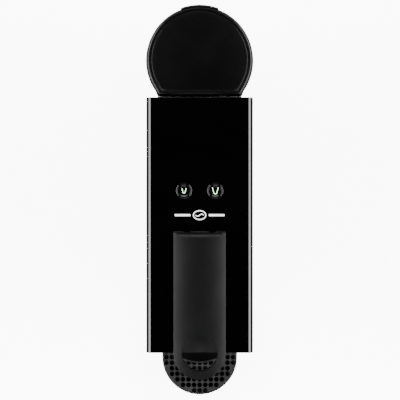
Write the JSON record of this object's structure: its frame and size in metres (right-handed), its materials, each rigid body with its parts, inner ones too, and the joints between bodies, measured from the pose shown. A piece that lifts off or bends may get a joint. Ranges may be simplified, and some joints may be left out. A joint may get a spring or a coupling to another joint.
{
  "type": "pod coffee machine",
  "caption": "Slim black pod coffee machine with a lever with a finger ring, round buttons, lift-off rear water tank with a hinged lid and a pull-out drip tray.",
  "frame": {"origin": "middle of the footprint, on the surface the feet stand on", "axes": "front of the machine (drip tray) towards -Y, water tank towards +Y, up +Z"},
  "size_m": [0.084, 0.33, 0.204],
  "materials": {
    "gloss_shell": "piano black, polished",
    "satin_black": "fine satin moulding",
    "matte_black": "fine spark-eroded texture",
    "grey_plastic": "plain technical moulding",
    "rubber": "matt",
    "steel": "turned",
    "cast_alloy": "as cast",
    "smoked_clear": "smoked transparent",
    "circuit_board": "solder mask",
    "silicone": "translucent silicone"
  },
  "bodies": {
    "machine": {"body_shell": "gloss_shell", "lever_bed": "matte_black", "fascia": "matte_black", "outlet_nose": "satin_black", "spout": "satin_black", "back_panel": "matte_black", "base_plate": "matte_black", "base_screw_front_left": "steel", "base_screw_front_right": "steel", "base_screw_rear_left": "steel", "base_screw_rear_right": "steel", "foot_front_left": "rubber", "foot_front_right": "rubber", "foot_rear_left": "rubber", "foot_rear_right": "rubber", "bulkhead": "grey_plastic", "lever_shaft": "steel", "brew_frame": "grey_plastic", "injection_head": "steel", "brew_seal": "rubber", "coffee_duct": "grey_plastic", "button_board": "circuit_board", "button_mat": "rubber", "tank_seat": "matte_black", "tank_connector": "grey_plastic", "connector_seal": "rubber", "cord_gland": "rubber", "pump_body": "grey_plastic", "pump_mount_front": "rubber", "pump_mount_rear": "rubber", "flow_meter": "grey_plastic", "thermoblock": "cast_alloy", "thermostat": "steel", "control_board": "circuit_board", "relay": "matte_black", "capacitor": "grey_plastic", "hose_tank_to_meter": "silicone", "hose_meter_to_pump": "silicone", "hose_pump_to_heater": "silicone", "hose_heater_to_brew": "silicone"},
    "lever": {"lever": "matte_black"},
    "brew_carriage": {"brew_carriage": "grey_plastic", "extraction_plate": "steel"},
    "button_small": {"button_small": "satin_black"},
    "button_large": {"button_large": "satin_black"},
    "drawer": {"tray_carrier": "matte_black", "drip_bowl": "satin_black", "drawer_front": "satin_black", "capsule_container": "matte_black"},
    "drip_grid": {"drip_grid": "satin_black"},
    "water_tank": {"water_tank": "smoked_clear", "lid_hinge_pin": "steel"},
    "tank_lid": {"tank_lid": "satin_black"},
    "tank_valve": {"tank_valve": "grey_plastic"},
    "pump_plunger": {"pump_plunger": "steel"},
    "flow_rotor": {"flow_rotor": "silicone"}
  },
  "joints": [
    {"name": "lever_hinge", "type": "hinge", "parent": "machine", "child": "lever", "pos_m": [0, -0.0163, 0.1983], "axis": [-1, 0, 0], "range_deg": [0, 76]},
    {"name": "carriage_slide", "type": "slide", "parent": "machine", "child": "brew_carriage", "axis": [0, -1, 0], "range_m": [0, 0.0271]},
    {"name": "button_small_press", "type": "slide", "parent": "machine", "child": "button_small", "axis": [0, 0, -1], "range_m": [0, 0.0012], "stiffness_N_per_m": 400, "springref_m": -0.0005},
    {"name": "button_large_press", "type": "slide", "parent": "machine", "child": "button_large", "axis": [0, 0, -1], "range_m": [0, 0.0012], "stiffness_N_per_m": 400, "springref_m": -0.0005},
    {"name": "drawer_slide", "type": "slide", "parent": "machine", "child": "drawer", "axis": [0, -1, 0], "range_m": [0, 0.09]},
    {"name": "grid_lift", "type": "slide", "parent": "drawer", "child": "drip_grid", "axis": [0, 0, 1], "range_m": [0, 0.05]},
    {"name": "tank_lift", "type": "slide", "parent": "machine", "child": "water_tank", "axis": [0, 0, 1], "range_m": [0, 0.19]},
    {"name": "lid_hinge", "type": "hinge", "parent": "water_tank", "child": "tank_lid", "pos_m": [0, 0.0976, 0.1874], "axis": [1, 0, 0], "range_deg": [0, 85]},
    {"name": "valve_lift", "type": "slide", "parent": "water_tank", "child": "tank_valve", "axis": [0, 0, 1], "range_m": [0, 0.002], "stiffness_N_per_m": 150, "springref_m": -0.001},
    {"name": "plunger_stroke", "type": "slide", "parent": "machine", "child": "pump_plunger", "axis": [0, 1, 0], "range_m": [-0.0025, 0.0025], "stiffness_N_per_m": 500},
    {"name": "rotor_spin", "type": "hinge", "parent": "machine", "child": "flow_rotor", "pos_m": [0.024, 0.054, 0.022], "axis": [0, 0, 1], "continuous": true}
  ],
  "couplings": [
    {"joint": "carriage_slide", "follows": "lever_hinge", "m_per_rad": 0.020353}
  ]
}
